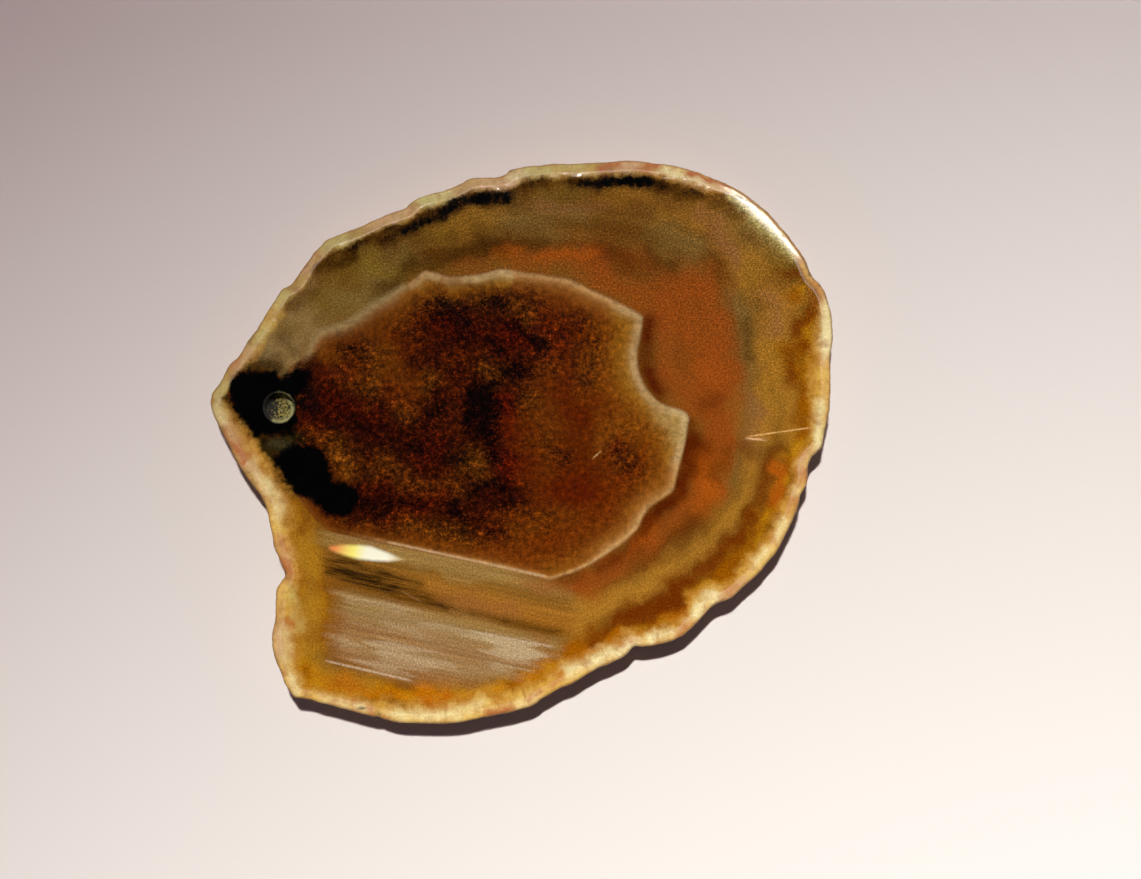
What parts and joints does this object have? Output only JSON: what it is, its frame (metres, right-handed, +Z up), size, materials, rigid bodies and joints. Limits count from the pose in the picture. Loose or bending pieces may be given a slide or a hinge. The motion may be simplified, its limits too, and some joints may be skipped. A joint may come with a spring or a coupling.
{
  "type": "agate slice",
  "caption": "Thin polished slice of banded agate with a rough natural rind and a small blind hole drilled near its narrow tip; lies flat as an ornament.",
  "frame": {"origin": "under the middle of the bounding box, on the underside that the slice rests on", "axes": "+X from the narrow drilled tip to the round end, +Y across the slice, +Z up through its thickness to the polished top face"},
  "size_m": [0.0502, 0.0454, 0.004],
  "materials": {
    "agate": "polished faces, rough rind on the edge"
  },
  "bodies": {
    "root": {"agate_slice": "agate"}
  },
  "joints": []
}
